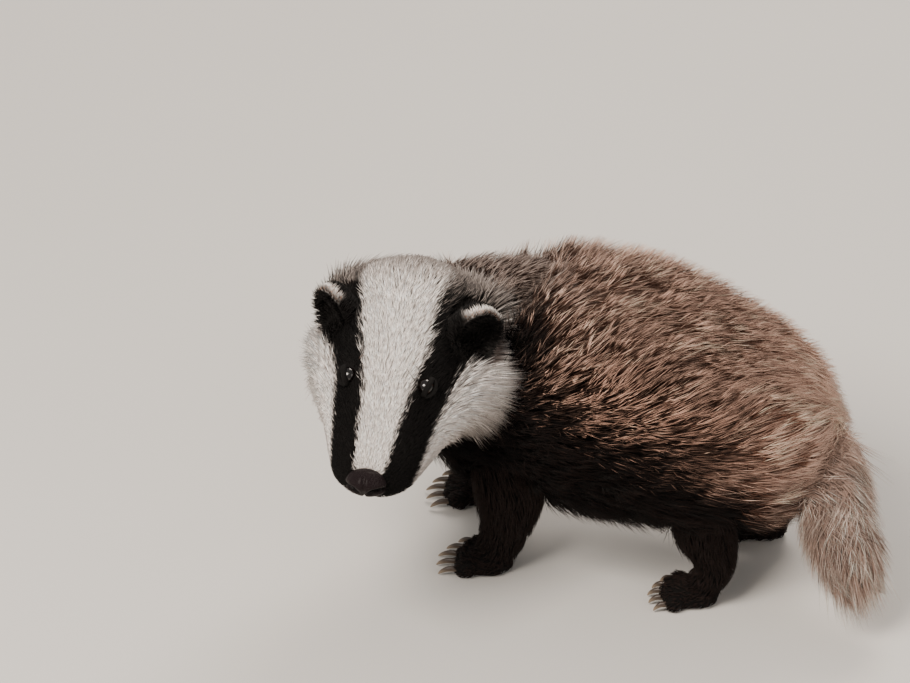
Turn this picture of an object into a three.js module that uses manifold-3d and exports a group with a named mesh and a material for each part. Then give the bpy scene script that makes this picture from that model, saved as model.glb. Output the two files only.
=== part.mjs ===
// A young European badger, about ten weeks old, as a still life-size model. It stands on four short legs
// with its trunk side-on and its head turned to its own left and lowered.
// Millimetres, +Z up, floor at Z 0. The trunk runs along X with the head end at -X, and -Y is its left side.
import * as THREE from "three";
import { mergeVertices } from "three/addons/utils/BufferGeometryUtils.js";
import Module from "manifold-3d";

const wasm = await Module();
wasm.setup();

// Driving dimensions
const GAP = 0.3; // between nodes that meet
const COAT_RISE = 11; // from the core to the tips of the long coat
const COAT_SINK = 5; // how far a lock's root is sunk in the core
const LOCK_STEPS = 2; // stretches of a lock, with a bend between them
const TIP_SHARE = 4; // a grown lock's point runs on by this many times the growth
const LEAST_THICKNESS = 2.4; // of a lock's ridge over its middle
const TRUNK_MIDDLE = [97, 10]; // X and Y of the trunk's middle
const TRUNK_YAW = 15; // degrees, how far the rump is swung to the animal's left
const CROWN = [-30, -38, 202]; // top of the head between the ears
const HEAD_PITCH = 33.9; // degrees, the line from crown to nose below level
const HEAD_YAW = 13.6; // degrees, how far the nose points to -X from -Y
const HEAD_ROLL = 3.3; // degrees, left ear down
const EAR_RADIUS = 17;
const EAR_WALL = 2.4;
const EYE_RADIUS = 5.6;

const UP = new THREE.Vector3(0, 0, 1);
const radians = THREE.MathUtils.degToRad;

// A seeded draw from 0 to 1, so that the coat is the same each time.
let seed = 20417;
function draw() {
  seed = (seed * 1664525 + 1013904223) % 4294967296;
  return seed / 4294967296;
}
const vary = (share) => 1 + share * (2 * draw() - 1);

// The trunk's own axes: forward to the neck, and left.
const FORWARD = new THREE.Vector3(-Math.cos(radians(TRUNK_YAW)), Math.sin(radians(TRUNK_YAW)), 0);
const LEFT = new THREE.Vector3().crossVectors(UP, FORWARD);

// A point of the body: distance forward of the trunk's middle, distance left of it, and height.
function bodyPoint(ahead, left, height) {
  return new THREE.Vector3(TRUNK_MIDDLE[0], TRUNK_MIDDLE[1], height)
    .addScaledVector(FORWARD, ahead)
    .addScaledVector(LEFT, left);
}

// The head's own axes: towards the nose, to its left, and up through the crown.
const noseYaw = radians(HEAD_YAW);
const nosePitch = radians(HEAD_PITCH);
const NOSEWARD = new THREE.Vector3(
  -Math.sin(noseYaw) * Math.cos(nosePitch),
  -Math.cos(noseYaw) * Math.cos(nosePitch),
  -Math.sin(nosePitch),
);
const HEAD_LEFT = new THREE.Vector3()
  .crossVectors(UP, NOSEWARD)
  .normalize()
  .applyAxisAngle(NOSEWARD, -radians(HEAD_ROLL));
const HEAD_UP = new THREE.Vector3().crossVectors(NOSEWARD, HEAD_LEFT);

// A point of the head: distance noseward of the crown, distance left, and distance above the crown's line.
function headPoint(nose, left, up) {
  return new THREE.Vector3(...CROWN)
    .addScaledVector(NOSEWARD, nose)
    .addScaledVector(HEAD_LEFT, left)
    .addScaledVector(HEAD_UP, up);
}

// A closed geometry as a solid, with its faces turned outwards.
function solidOf(geometry) {
  const bare = geometry.clone();
  bare.deleteAttribute("normal");
  bare.deleteAttribute("uv");
  const merged = mergeVertices(bare, 1e-4);
  const places = merged.attributes.position;
  const corners = new Uint32Array(merged.index.array);
  const [a, b, c] = [new THREE.Vector3(), new THREE.Vector3(), new THREE.Vector3()];
  let volume = 0;
  for (let i = 0; i < corners.length; i += 3) {
    a.fromBufferAttribute(places, corners[i]);
    b.fromBufferAttribute(places, corners[i + 1]);
    c.fromBufferAttribute(places, corners[i + 2]);
    volume += a.dot(b.cross(c));
  }
  if (volume < 0)
    for (let i = 0; i < corners.length; i += 3)
      [corners[i], corners[i + 1]] = [corners[i + 1], corners[i]];
  return new wasm.Manifold(
    new wasm.Mesh({ numProp: 3, vertProperties: places.array, triVerts: corners }),
  );
}

const union = (solids) => wasm.Manifold.union(solids);

// The largest closed surface of a solid, without the scraps that a cut leaves.
function largest(solid) {
  return solid.decompose().reduce((best, piece) => (piece.volume() > best.volume() ? piece : best));
}

// Values between stations, as a smooth curve through them.
function between(values, t) {
  const place = t * (values.length - 1);
  const i = Math.min(Math.floor(place), values.length - 2);
  const at = (k) => values[Math.max(0, Math.min(values.length - 1, k))];
  const [p0, p1, p2, p3] = [at(i - 1), at(i), at(i + 1), at(i + 2)];
  const u = place - i;
  return (
    p1 +
    0.5 * u * (p2 - p0 + u * (2 * p0 - 5 * p1 + 4 * p2 - p3 + u * (3 * (p1 - p2) + p3 - p0)))
  );
}

// A rounded form drawn along a curve through its stations, each a centre with a half width and a half height.
// square fills out the section's corners, and pear narrows its top and widens its foot. A turn of 0 is the
// section's left, and a quarter turn its top.
function form(stations, { sides = 16, rings = 12, cap = 0.14, up = UP, square = 2, pear = 0 } = {}) {
  const centres = stations.map((station) => station.centre);
  const path = new THREE.CatmullRomCurve3(centres, false, "centripetal");
  const widths = stations.map((station) => station.width);
  const heights = stations.map((station) => station.height);
  function section(t) {
    const along = path.getTangent(t);
    const across = new THREE.Vector3().crossVectors(up, along).normalize();
    const top = new THREE.Vector3().crossVectors(along, across);
    const nearEnd = Math.min(t, 1 - t) / cap;
    const round = nearEnd >= 1 ? 1 : Math.sqrt(Math.max(0, 1 - (1 - nearEnd) ** 2));
    return {
      centre: path.getPoint(t),
      along,
      across,
      top,
      width: between(widths, t) * round,
      height: between(heights, t) * round,
    };
  }
  function edge({ centre, across, top, width, height }, cos, sin, grow) {
    const squared = (x) => Math.sign(x) * Math.abs(x) ** (2 / square);
    const rise = squared(sin);
    return centre
      .clone()
      .addScaledVector(across, (width * (1 - pear * rise) + grow) * squared(cos))
      .addScaledVector(top, (height + grow) * rise);
  }
  const at = (t, turn, grow = 0) => edge(section(t), Math.cos(turn), Math.sin(turn), grow);
  // The surface at a point: its outward normal, and the ways back along it and round it with their speeds.
  function frame(t, turn) {
    const step = 0.01;
    const [t0, t1] = [Math.max(0, t - step), Math.min(1, t + step)];
    const back = at(t1, turn).sub(at(t0, turn)).divideScalar(t1 - t0);
    const round = at(t, turn + step)
      .sub(at(t, turn - step))
      .divideScalar(2 * step);
    const point = at(t, turn);
    const normal = new THREE.Vector3().crossVectors(back, round).normalize();
    if (normal.dot(point.clone().sub(section(t).centre)) < 0) normal.negate();
    const [backSpeed, roundSpeed] = [back.length(), round.length()];
    return { point, normal, back: back.normalize(), round: round.normalize(), backSpeed, roundSpeed };
  }
  function solid(grow = 0) {
    const geometry = new THREE.SphereGeometry(1, sides, rings);
    const places = geometry.attributes.position;
    for (let i = 0; i < places.count; i++) {
      const [x, y, z] = [places.getX(i), places.getY(i), places.getZ(i)];
      const t = Math.acos(THREE.MathUtils.clamp(y, -1, 1)) / Math.PI;
      const radius = Math.hypot(x, z);
      const ring = section(t);
      const place =
        radius > 1e-6
          ? edge(ring, x / radius, z / radius, grow)
          : ring.centre.addScaledVector(ring.along, t < 0.5 ? -grow : grow);
      places.setXYZ(i, place.x, place.y, place.z);
    }
    return solidOf(geometry);
  }
  return { at, frame, solid };
}

const station = (centre, width, height) => ({ centre, width, height });

// The line that a lock follows over a form: a place at its root, its bend and its tip, each with the
// surface's normal and the way the coat lies there. Past the form's end it runs straight on.
function lockLine(base, { t, turn, length, twist, droop }) {
  const line = [];
  const step = length / LOCK_STEPS;
  for (let k = 0; k <= LOCK_STEPS; k++) {
    const last = line[k - 1];
    if (t > 0.96 && last) {
      line.push({ ...last, point: last.point.clone().addScaledVector(last.lie, step) });
      continue;
    }
    const { point, normal, back, round, backSpeed, roundSpeed } = base.frame(t, turn);
    const flank = Math.sqrt(Math.max(0, 1 - normal.z * normal.z));
    const lie = back.clone().addScaledVector(UP, -droop * flank).addScaledVector(round, twist);
    lie.addScaledVector(normal, -lie.dot(normal)).normalize();
    line.push({ point, normal, lie });
    t += (step * lie.dot(back)) / backSpeed;
    turn += (step * lie.dot(round)) / roundSpeed;
  }
  return line;
}

// One flat lock of the long coat: a low ridge on a flat underside, tapering to a point. It rises from its
// root and bends over along its line.
function lock({ line, width, rise = COAT_RISE, grow = 0 }) {
  const spine = line.map(({ point, normal }, k) => {
    const lift = (rise + COAT_SINK) * (1 - (1 - k / LOCK_STEPS) ** 2) - COAT_SINK;
    return point.clone().addScaledVector(normal, lift);
  });
  const run = spine[LOCK_STEPS].clone().sub(spine[LOCK_STEPS - 1]).normalize();
  spine[LOCK_STEPS].addScaledVector(run, TIP_SHARE * grow);
  const thickness = Math.max(LEAST_THICKNESS, width * 0.2);
  const geometry = new THREE.ConeGeometry(1, 1, 3, LOCK_STEPS);
  const places = geometry.attributes.position;
  for (let i = 0; i < places.count; i++) {
    const s = places.getY(i) + 0.5;
    const k = Math.round(LOCK_STEPS * s);
    const { normal, lie } = line[k];
    const across = new THREE.Vector3().crossVectors(lie, normal).normalize();
    const place = spine[k].clone();
    if (k < LOCK_STEPS) {
      const leaf = Math.sqrt(1 - s * s) * (0.8 + 0.4 * s);
      place.addScaledVector(across, (places.getX(i) / (1 - s)) * (0.58 * width * leaf + grow));
      place.addScaledVector(normal, (places.getZ(i) / (1 - s)) * (thickness * leaf + grow));
    }
    places.setXYZ(i, place.x, place.y, place.z);
  }
  return solidOf(geometry);
}

// Rows of locks over a form, from where the coat starts to where it ends, each row set half a lock round.
// droop turns the lie down the flank.
function coat(base, { from, to, rows, around, length, width, droop = 0.3, rise, keep = () => true, grow = 0 }) {
  const locks = [];
  for (let row = 0; row < rows; row++) {
    for (let k = 0; k < around; k++) {
      const t = from + ((to - from) * (row + 0.3 * (draw() - 0.5))) / Math.max(1, rows - 1);
      const turn = (2 * Math.PI * (k + 0.5 * (row % 2) + 0.25 * (draw() - 0.5))) / around;
      const [long, wide, twist] = [length * vary(0.12), width * vary(0.12), 0.35 * (draw() - 0.5)];
      const line = lockLine(base, { t, turn, length: long, twist, droop });
      if (keep(line[0].point, line[LOCK_STEPS].point)) locks.push(lock({ line, width: wide, rise, grow }));
    }
  }
  return locks;
}

// Trunk: from the chest to the rump, arched over the loin, deep and flat-sided under its coat.
const trunk = form(
  [
    station(bodyPoint(124, 0, 114), 28, 34),
    station(bodyPoint(96, 0, 113), 44, 56),
    station(bodyPoint(58, 0, 112), 54, 65),
    station(bodyPoint(20, 0, 113), 62, 69),
    station(bodyPoint(-20, 0, 109), 66, 66),
    station(bodyPoint(-58, 0, 100), 65, 59),
    station(bodyPoint(-92, 0, 92), 56, 50),
    station(bodyPoint(-122, 0, 83), 41, 39),
  ],
  { sides: 24, rings: 15, cap: 0.2, square: 2.6 },
);

// Neck: short and thick, bending from the withers to the back of the head.
const neck = form(
  [
    station(headPoint(-8, 0, -44), 33, 33),
    station(new THREE.Vector3(-16, 4, 146), 41, 43),
    station(new THREE.Vector3(14, 24, 134), 45, 50),
    station(new THREE.Vector3(62, 20, 123), 48, 55),
  ],
  { sides: 18, rings: 10 },
);

// Tail: short, hanging from the rump and swung to the left, its tip clear of the floor.
const tail = form(
  [
    station(bodyPoint(-98, 0, 104), 14, 14),
    station(bodyPoint(-124, 6, 88), 15, 15),
    station(bodyPoint(-138, 24, 63), 14, 14),
    station(bodyPoint(-151, 42, 42), 12, 12),
    station(bodyPoint(-159, 51, 31), 7, 7),
  ],
  { sides: 10, rings: 10, up: LEFT },
);

// Head: its depth runs from the line of the forehead to the jaw.
const skullStation = (nose, top, bottom, width) =>
  station(headPoint(nose, 0, (top + bottom) / 2), width, (top - bottom) / 2);
const skull = form(
  [
    skullStation(115, -7, -33, 17),
    skullStation(98, -2, -42, 25),
    skullStation(78, 1, -52, 32),
    skullStation(58, 4, -62, 39),
    skullStation(34, 5, -71, 45),
    skullStation(8, 1, -78, 49),
    skullStation(-18, -7, -78, 47),
    skullStation(-42, -22, -68, 34),
  ],
  { sides: 20, rings: 16, cap: 0.12, up: HEAD_UP, pear: 0.26 },
);

const CHEEK_ROWS = [
  { t: 0.5, turns: [-0.35, -0.7, -1.05], length: 34 },
  { t: 0.6, turns: [-0.15, -0.5, -0.85, -1.2], length: 38 },
];

// Nose pad: a bare leathery knob with a comma-shaped nostril on each side.
const nosePad = form(
  [
    station(headPoint(103, 0, -14), 9, 7),
    station(headPoint(112, 0, -14), 12, 9.5),
    station(headPoint(119, 0, -16), 10.5, 8.5),
  ],
  { sides: 14, rings: 10, cap: 0.35, up: HEAD_UP },
);

function nostril(side) {
  return form(
    [
      station(headPoint(121, side * 4.4, -16), 2.2, 2.6),
      station(headPoint(116, side * 5.5, -16), 1.9, 2.3),
      station(headPoint(113, side * 9.5, -19), 1.2, 1.2),
      station(headPoint(113, side * 13.5, -20), 0.9, 0.9),
    ],
    { sides: 6, rings: 7, up: HEAD_UP },
  ).solid();
}

// The head's place of an eye, and of an ear's cup.
const eyeCentre = (side) => headPoint(49, side * 22.6, -8.4);
const earCentre = (side) => headPoint(5, side * 40, -25);

function ball(centre, radius, sides = 12, rings = 8) {
  const geometry = new THREE.SphereGeometry(radius, sides, rings);
  geometry.translate(centre.x, centre.y, centre.z);
  return solidOf(geometry);
}

// Lids: an upper and a lower fold round the eyeball, meeting at its two corners.
function lids(side) {
  const centre = eyeCentre(side);
  const out = HEAD_LEFT.clone()
    .multiplyScalar(side * 0.8)
    .addScaledVector(HEAD_UP, 0.5)
    .addScaledVector(NOSEWARD, 0.35)
    .normalize();
  const corner = NOSEWARD.clone().addScaledVector(out, -NOSEWARD.dot(out)).normalize();
  const rise = new THREE.Vector3().crossVectors(out, corner).normalize();
  if (rise.dot(HEAD_UP) < 0) rise.negate();
  const reach = EYE_RADIUS + 0.7;
  return [1, -1].map((fold) => {
    const stations = [];
    for (let k = 0; k <= 6; k++) {
      const turn = (Math.PI * k) / 6;
      const open = fold * Math.sin(turn) * (fold > 0 ? 0.8 : 0.74);
      const place = centre
        .clone()
        .addScaledVector(corner, reach * 0.93 * Math.cos(turn))
        .addScaledVector(rise, reach * open)
        .addScaledVector(out, reach * Math.sqrt(Math.max(0.05, 1 - Math.cos(turn) ** 2 * 0.86 - open * open)));
      stations.push(station(place, 1.3, 1.3));
    }
    return form(stations, { sides: 5, rings: 8, up: out }).solid();
  });
}

// The line of the mouth, cut below each lip from under the nose to the corner of the mouth.
function mouthLine(side, grow) {
  const turns = [-1.25, -0.86, -0.68, -0.6, -0.62];
  const places = [0.05, 0.12, 0.22, 0.33, 0.43];
  const stations = places.map((t, k) => {
    const turn = side > 0 ? turns[k] : Math.PI - turns[k];
    return station(skull.at(t, turn), grow, grow);
  });
  return form(stations, { sides: 5, rings: 10, cap: 0.08, up: HEAD_UP }).solid();
}

// The fold of the upper lip, that hangs just over the line of the mouth.
function upperLip(side) {
  const turns = [-0.95, -0.7, -0.52, -0.46, -0.5];
  const places = [0.06, 0.12, 0.22, 0.32, 0.41];
  const stations = places.map((t, k) => {
    const turn = side > 0 ? turns[k] : Math.PI - turns[k];
    return station(skull.at(t, turn, -1.4), 2.6, 2.6);
  });
  return form(stations, { sides: 6, rings: 8, cap: 0.2, up: HEAD_UP }).solid();
}

// Ear: a low round cup, open towards the front and outwards.
function earAxes(side) {
  const open = NOSEWARD.clone()
    .multiplyScalar(0.62)
    .addScaledVector(HEAD_LEFT, side * 0.62)
    .addScaledVector(HEAD_UP, 0.2)
    .normalize();
  const rise = HEAD_UP.clone().addScaledVector(HEAD_LEFT, side * 0.5);
  rise.addScaledVector(open, -rise.dot(open)).normalize();
  return { open, rise, across: new THREE.Vector3().crossVectors(rise, open) };
}

function earShell(side, grow = 0) {
  const { open, rise, across } = earAxes(side);
  const centre = earCentre(side).addScaledVector(rise, 2);
  const turned = new THREE.Matrix4().makeBasis(across, rise, open).setPosition(centre);
  const size = EAR_RADIUS + grow;
  const outer = new THREE.SphereGeometry(1, 14, 8).scale(size, size * 1.08, size * 0.62);
  return { solid: solidOf(outer.applyMatrix4(turned)), turned };
}

function ear(side) {
  const { solid, turned } = earShell(side);
  const inside = EAR_RADIUS - EAR_WALL;
  const hollow = new THREE.SphereGeometry(1, 12, 7)
    .scale(inside, inside * 1.08, EAR_RADIUS * 0.62 - EAR_WALL)
    .translate(0, 1, EAR_RADIUS * 0.34);
  const mouth = new THREE.CylinderGeometry(EAR_RADIUS * 1.2, EAR_RADIUS * 1.2, EAR_RADIUS, 16)
    .rotateX(Math.PI / 2)
    .translate(0, 0, EAR_RADIUS * 0.72);
  return solid
    .subtract(solidOf(hollow.applyMatrix4(turned)))
    .subtract(solidOf(mouth.applyMatrix4(turned)));
}

// Legs. A foot is a flat-soled pad with five toes in a fan, each with its own claw.
function leg({ name, side, shoulder, elbow, wrist, foot, thickness, toeIn = 0, paw, claw }) {
  const heel = bodyPoint(foot[0], foot[1], 0);
  const ahead = FORWARD.clone().applyAxisAngle(UP, radians(-side * toeIn));
  const out = new THREE.Vector3().crossVectors(UP, ahead);
  const place = (forward, left, height) =>
    heel.clone().addScaledVector(ahead, forward).addScaledVector(out, left).setZ(height);
  const limb = form(
    [
      station(bodyPoint(...shoulder), thickness[0], thickness[0]),
      station(bodyPoint(...elbow), thickness[1], thickness[1] * 1.08),
      station(bodyPoint(...wrist), thickness[2], thickness[2]),
      station(place(paw.length * 0.08, 0, 8), thickness[2] * 0.94, thickness[2] * 0.94),
    ],
    { sides: 10, rings: 7, up: FORWARD },
  );
  const pad = form(
    [
      station(place(-paw.length * 0.3, 0, 6), paw.width * 0.28, 8),
      station(place(paw.length * 0.12, 0, 7), paw.width * 0.42, 9.5),
      station(place(paw.length * 0.55, 0, 5), paw.width * 0.44, 7.5),
    ],
    { sides: 10, rings: 6, cap: 0.3 },
  );
  const toes = [];
  const claws = [];
  for (let k = 0; k < 5; k++) {
    const fan = (k - 2) / 2;
    const spread = radians(13) * fan;
    const point = (forward, height) =>
      place(
        paw.length * 0.34 + forward * Math.cos(spread) - 4 * fan * fan,
        paw.width * 0.37 * fan + forward * Math.sin(spread),
        height,
      );
    const toeWidth = paw.width * (0.125 - 0.015 * Math.abs(fan));
    toes.push(
      form(
        [
          station(point(0, 5.5), toeWidth, 6),
          station(point(paw.toe * 0.55, 6), toeWidth * 1.05, 6),
          station(point(paw.toe, 4), toeWidth * 0.8, 4.6),
        ],
        { sides: 5, rings: 5, cap: 0.35 },
      ).solid(),
    );
    const reach = claw.length * (1 - 0.15 * Math.abs(fan));
    claws.push({
      name: `claw_${name}_${k + 1}`,
      shape: form(
        [
          station(point(paw.toe - 4.5, 5.6), 1.5, 1.9),
          station(point(paw.toe + reach * 0.35, 5.4), 1.4, 1.8),
          station(point(paw.toe + reach * 0.75, 3.6), 1, 1.2),
          station(point(paw.toe + reach, 1.4), 0.45, 0.5),
        ],
        { sides: 4, rings: 5, cap: 0.16 },
      ),
    });
  }
  const floor = solidOf(new THREE.BoxGeometry(400, 400, 60).translate(heel.x, heel.y, -30));
  const blank = (grow = 0) =>
    union([limb.solid(grow), pad.solid(grow), ...toes]).subtract(floor);
  return { name, limb, blank, claws };
}

const FORE = {
  thickness: [20, 19, 15],
  paw: { width: 37, length: 34, toe: 13 },
  claw: { length: 12 },
};
const HIND = {
  thickness: [22, 18, 13],
  paw: { width: 33, length: 38, toe: 11 },
  claw: { length: 8 },
};
const legs = [
  leg({
    ...FORE,
    name: "foreleg_left",
    side: 1,
    shoulder: [66, 26, 84],
    elbow: [57, 34, 56],
    wrist: [61, 37, 24],
    foot: [65, 38],
    toeIn: 4,
  }),
  leg({
    ...FORE,
    name: "foreleg_right",
    side: -1,
    shoulder: [76, -26, 84],
    elbow: [73, -34, 56],
    wrist: [86, -37, 24],
    foot: [92, -38],
    toeIn: 4,
  }),
  leg({
    ...HIND,
    name: "hindleg_left",
    side: 1,
    shoulder: [-62, 28, 84],
    elbow: [-62, 37, 54],
    wrist: [-70, 41, 26],
    foot: [-62, 42],
    toeIn: -6,
  }),
  leg({
    ...HIND,
    name: "hindleg_right",
    side: -1,
    shoulder: [-70, -28, 84],
    elbow: [-77, -37, 54],
    wrist: [-92, -41, 26],
    foot: [-86, -42],
    toeIn: -6,
  }),
];

// The ruff of each cheek: locks that flare back and down from below the eye to behind the jaw.
function ruff(side, grow) {
  seed = 9127;
  const locks = [];
  for (const { t, turns, length } of CHEEK_ROWS) {
    for (const turn of turns) {
      const line = lockLine(skull, {
        t: t + 0.02 * (draw() - 0.5),
        turn: side > 0 ? turn : Math.PI - turn,
        length: length * vary(0.1),
        twist: 0,
        droop: 0.35,
      });
      locks.push(lock({ line, width: 19, rise: 18, grow }));
    }
  }
  return locks;
}

// Head with its sockets for the eyes, ears and nose pad.
function headBlank(grow = 0) {
  return union([skull.solid(grow), ...ruff(1, 4 * grow), ...ruff(-1, 4 * grow)]);
}

function head() {
  let made = union([headBlank(), upperLip(1), upperLip(-1)]);
  for (const side of [1, -1]) {
    made = made.subtract(mouthLine(side, 0.9));
    made = made.add(union(lids(side)));
    made = made.subtract(ball(eyeCentre(side), EYE_RADIUS + GAP));
    made = made.subtract(earShell(side, GAP).solid);
  }
  return made.subtract(nosePad.solid(GAP));
}

// The body without the head: neck, trunk and their long coat, before it is parted.
const trunkCoat = coat(trunk, {
  from: 0.08,
  to: 0.93,
  rows: 8,
  around: 12,
  length: 56,
  width: 28,
  keep: (root, tip) => root.z > 50 && tip.z > 34,
});
const neckCoat = coat(neck, {
  from: 0.36,
  to: 0.72,
  rows: 3,
  around: 10,
  length: 42,
  width: 25,
  keep: (root, tip) => tip.x > root.x,
});
const bodyWhole = union([trunk.solid(), neck.solid(), ...trunkCoat, ...neckCoat]);

// A half space in front of a plane, as a large box whose near face lies in the plane.
function ahead(point, normal, shift = 0) {
  const turn = new THREE.Quaternion().setFromUnitVectors(UP, normal);
  const box = new THREE.BoxGeometry(600, 600, 600).translate(0, 0, 300 + shift);
  return solidOf(box.applyQuaternion(turn).translate(point.x, point.y, point.z));
}

const neckPlane = {
  point: new THREE.Vector3(12, 12, 150),
  normal: new THREE.Vector3(-0.75, -0.25, 0.61).normalize(),
};

const tailCoat = (grow) => {
  seed = 5151;
  return coat(tail, {
    from: 0.3,
    to: 0.8,
    rows: 3,
    around: 6,
    length: 30,
    width: 15,
    rise: 7,
    droop: 0.1,
    grow,
  });
};
const tailBlank = (grow = 0) => union([tail.solid(grow), ...tailCoat(grow)]);

const finishes = {
  coat: new THREE.MeshStandardMaterial({ color: 0xa8917f, roughness: 0.9, metalness: 0 }),
  face: new THREE.MeshStandardMaterial({ color: 0xe6ded6, roughness: 0.85, metalness: 0 }),
  ear: new THREE.MeshStandardMaterial({ color: 0x1c1716, roughness: 0.85, metalness: 0 }),
  leg: new THREE.MeshStandardMaterial({ color: 0x1d1815, roughness: 0.85, metalness: 0 }),
  tail: new THREE.MeshStandardMaterial({ color: 0xd2bcab, roughness: 0.9, metalness: 0 }),
  nose: new THREE.MeshStandardMaterial({ color: 0x3a2a2c, roughness: 0.45, metalness: 0 }),
  eye: new THREE.MeshStandardMaterial({ color: 0x120d0b, roughness: 0.08, metalness: 0 }),
  claw: new THREE.MeshStandardMaterial({ color: 0x6f6254, roughness: 0.4, metalness: 0 }),
};

const badger = new THREE.Group();

// A solid as a named mesh of the model.
function part(name, solid, finish) {
  const { numProp, vertProperties, triVerts } = largest(solid).getMesh();
  const places = new Float32Array((vertProperties.length / numProp) * 3);
  for (let i = 0; i < places.length / 3; i++)
    places.set(vertProperties.subarray(i * numProp, i * numProp + 3), i * 3);
  const geometry = new THREE.BufferGeometry()
    .setAttribute("position", new THREE.BufferAttribute(places, 3))
    .setIndex(new THREE.BufferAttribute(triVerts, 1));
  geometry.computeVertexNormals();
  const mesh = new THREE.Mesh(geometry, finishes[finish]);
  mesh.name = name;
  badger.add(mesh);
}

let body = bodyWhole.subtract(headBlank(GAP)).subtract(tailBlank(GAP));
for (const { name, blank, claws } of legs) {
  body = body.subtract(blank(GAP));
  let made = blank();
  for (const claw of claws) {
    part(claw.name, claw.shape.solid(), "claw");
    made = made.subtract(claw.shape.solid(GAP));
  }
  part(name, made, "leg");
}
part("neck", body.intersect(ahead(neckPlane.point, neckPlane.normal, GAP / 2)), "coat");
part("torso", body.subtract(ahead(neckPlane.point, neckPlane.normal, -GAP / 2)), "coat");
part("tail", tailBlank(), "tail");
part("head", head(), "face");
part("nose_pad", union([nosePad.solid()]).subtract(union([nostril(1), nostril(-1)])), "nose");
for (const [sideName, side] of [
  ["left", 1],
  ["right", -1],
]) {
  part(`ear_${sideName}`, ear(side), "ear");
  part(`eye_${sideName}`, ball(eyeCentre(side), EYE_RADIUS), "eye");
}

// The frame's origin is on the floor, at the middle of the model's box.
const box = new THREE.Box3().setFromObject(badger);
const middle = box.getCenter(new THREE.Vector3());
badger.position.set(-middle.x, -middle.y, -box.min.z);

export default badger;
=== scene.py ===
# A young European badger, standing with its head turned to its left and lowered: one skin over the
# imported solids, with its coat as joined meshes of thin tapered hairs that follow the lie of the fur.
import math

import bmesh
import bpy
import numpy as np
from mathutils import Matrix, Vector
from mathutils.bvhtree import BVHTree
from mathutils.kdtree import KDTree


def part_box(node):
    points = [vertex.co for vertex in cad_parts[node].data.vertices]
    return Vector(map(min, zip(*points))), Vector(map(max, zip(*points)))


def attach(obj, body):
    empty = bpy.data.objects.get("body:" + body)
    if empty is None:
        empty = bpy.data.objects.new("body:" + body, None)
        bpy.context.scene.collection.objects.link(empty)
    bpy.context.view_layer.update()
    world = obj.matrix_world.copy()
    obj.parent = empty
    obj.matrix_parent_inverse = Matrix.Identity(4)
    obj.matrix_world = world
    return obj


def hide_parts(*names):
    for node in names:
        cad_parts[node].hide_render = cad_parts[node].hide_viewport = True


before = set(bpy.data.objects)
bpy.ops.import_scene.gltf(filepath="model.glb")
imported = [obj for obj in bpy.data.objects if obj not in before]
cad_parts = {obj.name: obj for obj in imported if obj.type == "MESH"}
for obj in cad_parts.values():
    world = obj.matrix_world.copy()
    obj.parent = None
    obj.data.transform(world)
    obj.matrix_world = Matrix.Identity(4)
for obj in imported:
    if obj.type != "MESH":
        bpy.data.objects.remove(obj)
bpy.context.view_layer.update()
rng = np.random.default_rng(20417)


# The body: a low trunk on four short legs, with a thick neck that turns back to the left and a long narrow
# head. Its axes and sizes are those of the solids, in millimetres, and ahead is towards the chest.
UP = np.array([0.0, 0.0, 1.0])


def unit(v):
    return v / np.maximum(np.linalg.norm(v, axis=-1, keepdims=True), 1e-12)


TRUNK_YAW = math.radians(15)
AHEAD = np.array([-math.cos(TRUNK_YAW), math.sin(TRUNK_YAW), 0.0])
LEFT = np.cross(UP, AHEAD)


def body_point(ahead, left, height):
    return np.array([97.0, 10.0, height]) + ahead * AHEAD + left * LEFT


HEAD_YAW, HEAD_PITCH, HEAD_ROLL = (math.radians(a) for a in (13.6, 33.9, 3.3))
NOSEWARD = np.array(
    [
        -math.sin(HEAD_YAW) * math.cos(HEAD_PITCH),
        -math.cos(HEAD_YAW) * math.cos(HEAD_PITCH),
        -math.sin(HEAD_PITCH),
    ]
)
level_left = unit(np.cross(UP, NOSEWARD))
HEAD_LEFT = level_left * math.cos(HEAD_ROLL) - np.cross(NOSEWARD, level_left) * math.sin(HEAD_ROLL)
HEAD_UP = np.cross(NOSEWARD, HEAD_LEFT)
CROWN = np.array([-30.0, -38.0, 202.0])


def head_point(nose, left, up):
    return CROWN + nose * NOSEWARD + left * HEAD_LEFT + up * HEAD_UP


def eye_centre(side):
    return head_point(49, side * 22.6, -8.4)


# The solids are centred on the floor, so one known place gives the shift to the row's frame.
eye_low, eye_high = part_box("eye_left")
SHIFT = np.array((eye_low + eye_high) / 2) * 1000 - eye_centre(1)


def metres(points):
    return (np.asarray(points) + SHIFT) / 1000


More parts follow.
